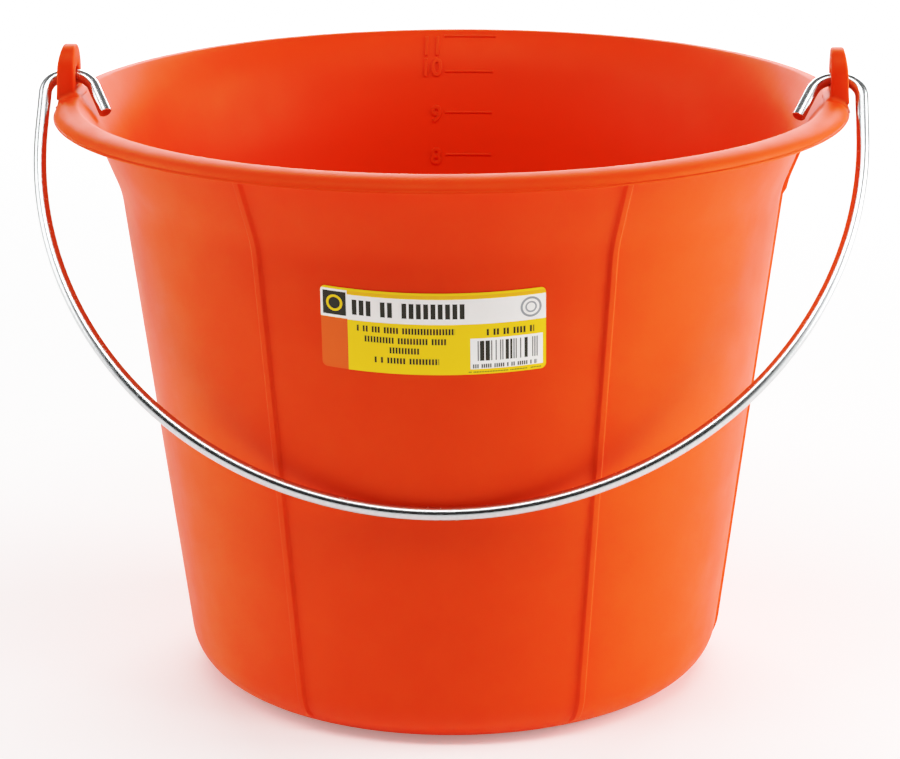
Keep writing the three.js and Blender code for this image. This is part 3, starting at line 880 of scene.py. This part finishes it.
def buildLabel(s):
    # a sheet with round corners laid on the wall; its rows narrow in the corners
    low = labelLow.z
    apex = wallRadius(low) / shellSizes["slope"]
    width, height = s["width"], s["height"]
    corner, columns = s["corner"], s["columns"]
    turn = arcPoints((0, 0), corner, 90, 0, 5)
    levels = [corner - p.y for p in turn]
    levels += [corner + (height - 2 * corner) * i / s["rows"] for i in range(1, s["rows"])]
    levels += [height - level for level in levels[5::-1]]
    mesh = bmesh.new()
    uvLayer = mesh.loops.layers.uv.new("UVMap")
    sheets = []
    places = {}
    for lift in (s["lift"] + s["thickness"], s["lift"]):
        sheet = []
        for level in levels:
            inCorner = max(corner - min(level, height - level), 0)
            half = width / 2 - corner + math.sqrt(max(corner ** 2 - inCorner ** 2, 0))
            row = []
            for i in range(columns + 1):
                x = half * (2 * i / columns - 1)
                # a flat sheet on a cone: its ends climb
                z = low + level + x * x / (2 * apex) * s["climb"]
                radius = wallRadius(z) + lift
                turnBy = x / wallRadius(z)
                v = mesh.verts.new(Vector((radius * math.sin(turnBy), -radius * math.cos(turnBy), z)) * mm)
                places[v] = (0.5 + x / width, level / height)
                row.append(v)
            sheet.append(row)
        sheets.append(sheet)
    top, under = sheets
    for a, b in zip(range(len(levels)), range(1, len(levels))):
        for i in range(columns):
            mesh.faces.new((top[a][i], top[a][i + 1], top[b][i + 1], top[b][i]))
            mesh.faces.new((under[a][i + 1], under[a][i], under[b][i], under[b][i + 1]))
        mesh.faces.new((top[a][0], top[b][0], under[b][0], under[a][0]))
        mesh.faces.new((top[b][-1], top[a][-1], under[a][-1], under[b][-1]))
    for i in range(columns):
        mesh.faces.new((top[0][i + 1], top[0][i], under[0][i], under[0][i + 1]))
        mesh.faces.new((top[-1][i], top[-1][i + 1], under[-1][i + 1], under[-1][i]))
    for face in mesh.faces:
        for loop in face.loops:
            loop[uvLayer].uv = places[loop.vert]
    data = bpy.data.meshes.new("frontLabel")
    mesh.to_mesh(data)
    mesh.free()
    data.materials.append(makeLabelFilm(width, height, filmLook))
    return placePiece("frontLabel", data)


label = buildLabel(labelSizes)
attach(label, "bucket")
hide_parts("front_label")
print("stage: label")


# studio: white floor, one soft light on the left, two on the right, one overhead and one behind, and a
# room that is dark on the camera's side

studioLights = {
    "left": {"place": (-1.6, -0.1, 0.8), "size": (1.2, 1.4), "power": 20},
    "right": {"place": (1.5, -0.45, 0.8), "size": (1.2, 1.4), "power": 8},
    "rightFar": {"place": (1.6, 0.1, 0.6), "size": (1.0, 1.1), "power": 31},
    "top": {"place": (0.0, -0.8, 1.8), "size": (2.0, 0.4), "power": 23},
    "back": {"place": (0.0, 2.0, 1.1), "size": (2.4, 1.4), "power": 72},
}
# turn is half the reach of the change from dark to pale; the lamps aim at aimHeight, in metres
roomLight = {"front": 0.04, "behind": 0.16, "turn": 0.25, "aimHeight": 0.12}
floorLook = {
    "paper": "#F7F7F6", "fibre": "#FBFBFB", "fibreScale": 400.0, "roughness": 0.9, "glow": 0.2, "reach": 8,
}
# tone: light in the scene against brightness in the picture
filmTone = {
    "white": 2.2,
    "points": (
        (0.02, 0.009), (0.06, 0.031), (0.15, 0.15), (0.35, 0.35), (0.7, 0.56), (1.1, 0.775), (1.6, 0.92),
    ),
}


def makeFloor(look):
    floorMaterial, tree, paper = newMaterial("white studio paper")
    place = addNode(tree, "ShaderNodeTexCoord").outputs["Object"]
    fibre = addNode(tree, "ShaderNodeTexNoise", {"Vector": place, "Scale": look["fibreScale"], "Detail": 2})
    tone = addNode(tree, "ShaderNodeMix", {"Factor": fibre.outputs["Fac"], 6: hexColour(look["paper"]),
                                           7: hexColour(look["fibre"])}, data_type="RGBA")
    tree.links.new(tone.outputs[2], paper.inputs["Base Color"])
    paper.inputs["Roughness"].default_value = look["roughness"]
    # the paper is lit from under as well
    paper.inputs["Emission Color"].default_value = hexColour("#FFFFFF")
    paper.inputs["Emission Strength"].default_value = look["glow"]
    mesh = bpy.data.meshes.new("studioFloor")
    reach = look["reach"]
    mesh.from_pydata([(-reach, -reach, 0), (reach, -reach, 0), (reach, reach, 0), (-reach, reach, 0)], [],
                     [(0, 1, 2, 3)])
    mesh.materials.append(floorMaterial)
    floor = bpy.data.objects.new("studioFloor", mesh)
    scene.collection.objects.link(floor)


def makeStudio(lights, room):
    for name, light in lights.items():
        data = bpy.data.lights.new(name, "AREA")
        data.shape = "RECTANGLE"
        data.size, data.size_y = light["size"]
        data.energy = light["power"]
        lamp = bpy.data.objects.new(name, data)
        lamp.location = light["place"]
        aim = up * room["aimHeight"] - lamp.location
        lamp.rotation_euler = aim.to_track_quat("-Z", "Y").to_euler()
        scene.collection.objects.link(lamp)
    scene.world = bpy.data.worlds.new("studio")
    scene.world.use_nodes = True
    tree = scene.world.node_tree
    # dark on the camera's side and pale behind
    direction = addNode(tree, "ShaderNodeTexCoord").outputs["Generated"]
    depth = addNode(tree, "ShaderNodeSeparateXYZ", [direction]).outputs["Y"]
    glow = addNode(tree, "ShaderNodeMapRange",
                   {"Value": depth, "From Min": -room["turn"], "From Max": room["turn"],
                    "To Min": room["front"], "To Max": room["behind"]})
    tree.links.new(glow.outputs[0], tree.nodes["Background"].inputs["Strength"])
    tree.nodes["Background"].inputs["Color"].default_value = (1, 1, 1, 1)


def setTone(tone):
    # how light becomes brightness in the picture
    view = scene.view_settings
    view.view_transform = "Standard"
    view.use_curve_mapping = True
    view.curve_mapping.white_level = (tone["white"],) * 3
    view.curve_mapping.extend = "HORIZONTAL"
    curve = view.curve_mapping.curves[3]
    for light, bright in tone["points"]:
        curve.points.new(light / tone["white"], bright).handle_type = "AUTO_CLAMPED"
    view.curve_mapping.update()


makeFloor(floorLook)
makeStudio(studioLights, roomLight)
setTone(filmTone)
print("stage: studio")
